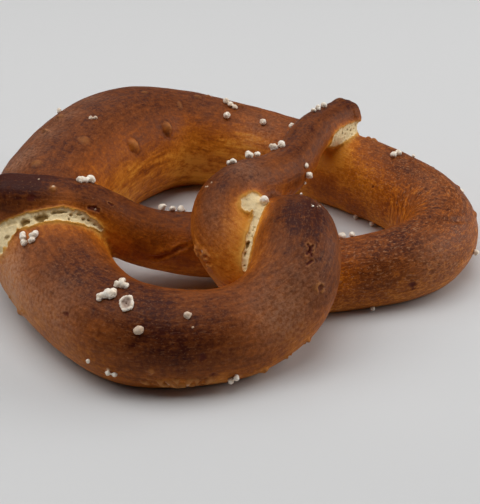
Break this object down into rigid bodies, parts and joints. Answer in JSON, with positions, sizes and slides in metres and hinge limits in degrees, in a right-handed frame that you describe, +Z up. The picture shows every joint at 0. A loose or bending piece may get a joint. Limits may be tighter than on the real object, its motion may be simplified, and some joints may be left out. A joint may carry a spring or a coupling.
{
  "type": "soft pretzel",
  "caption": "Baked soft pretzel: a rope of dough with a thick belly, two side loops, a twist and thin arms, under a brown crust with coarse salt.",
  "frame": {"origin": "on the table, under the middle of the pretzel's outline", "axes": "+Z up, +Y towards the thick belly, -Y towards the twist, +X towards the loop whose arm crosses on top"},
  "size_m": [0.1555, 0.1548, 0.0409],
  "materials": {
    "crust": "satin lye-baked bread crust with pale crumb in its cracks and coarse white salt"
  },
  "bodies": {
    "root": {"pretzel": "crust"}
  },
  "joints": []
}
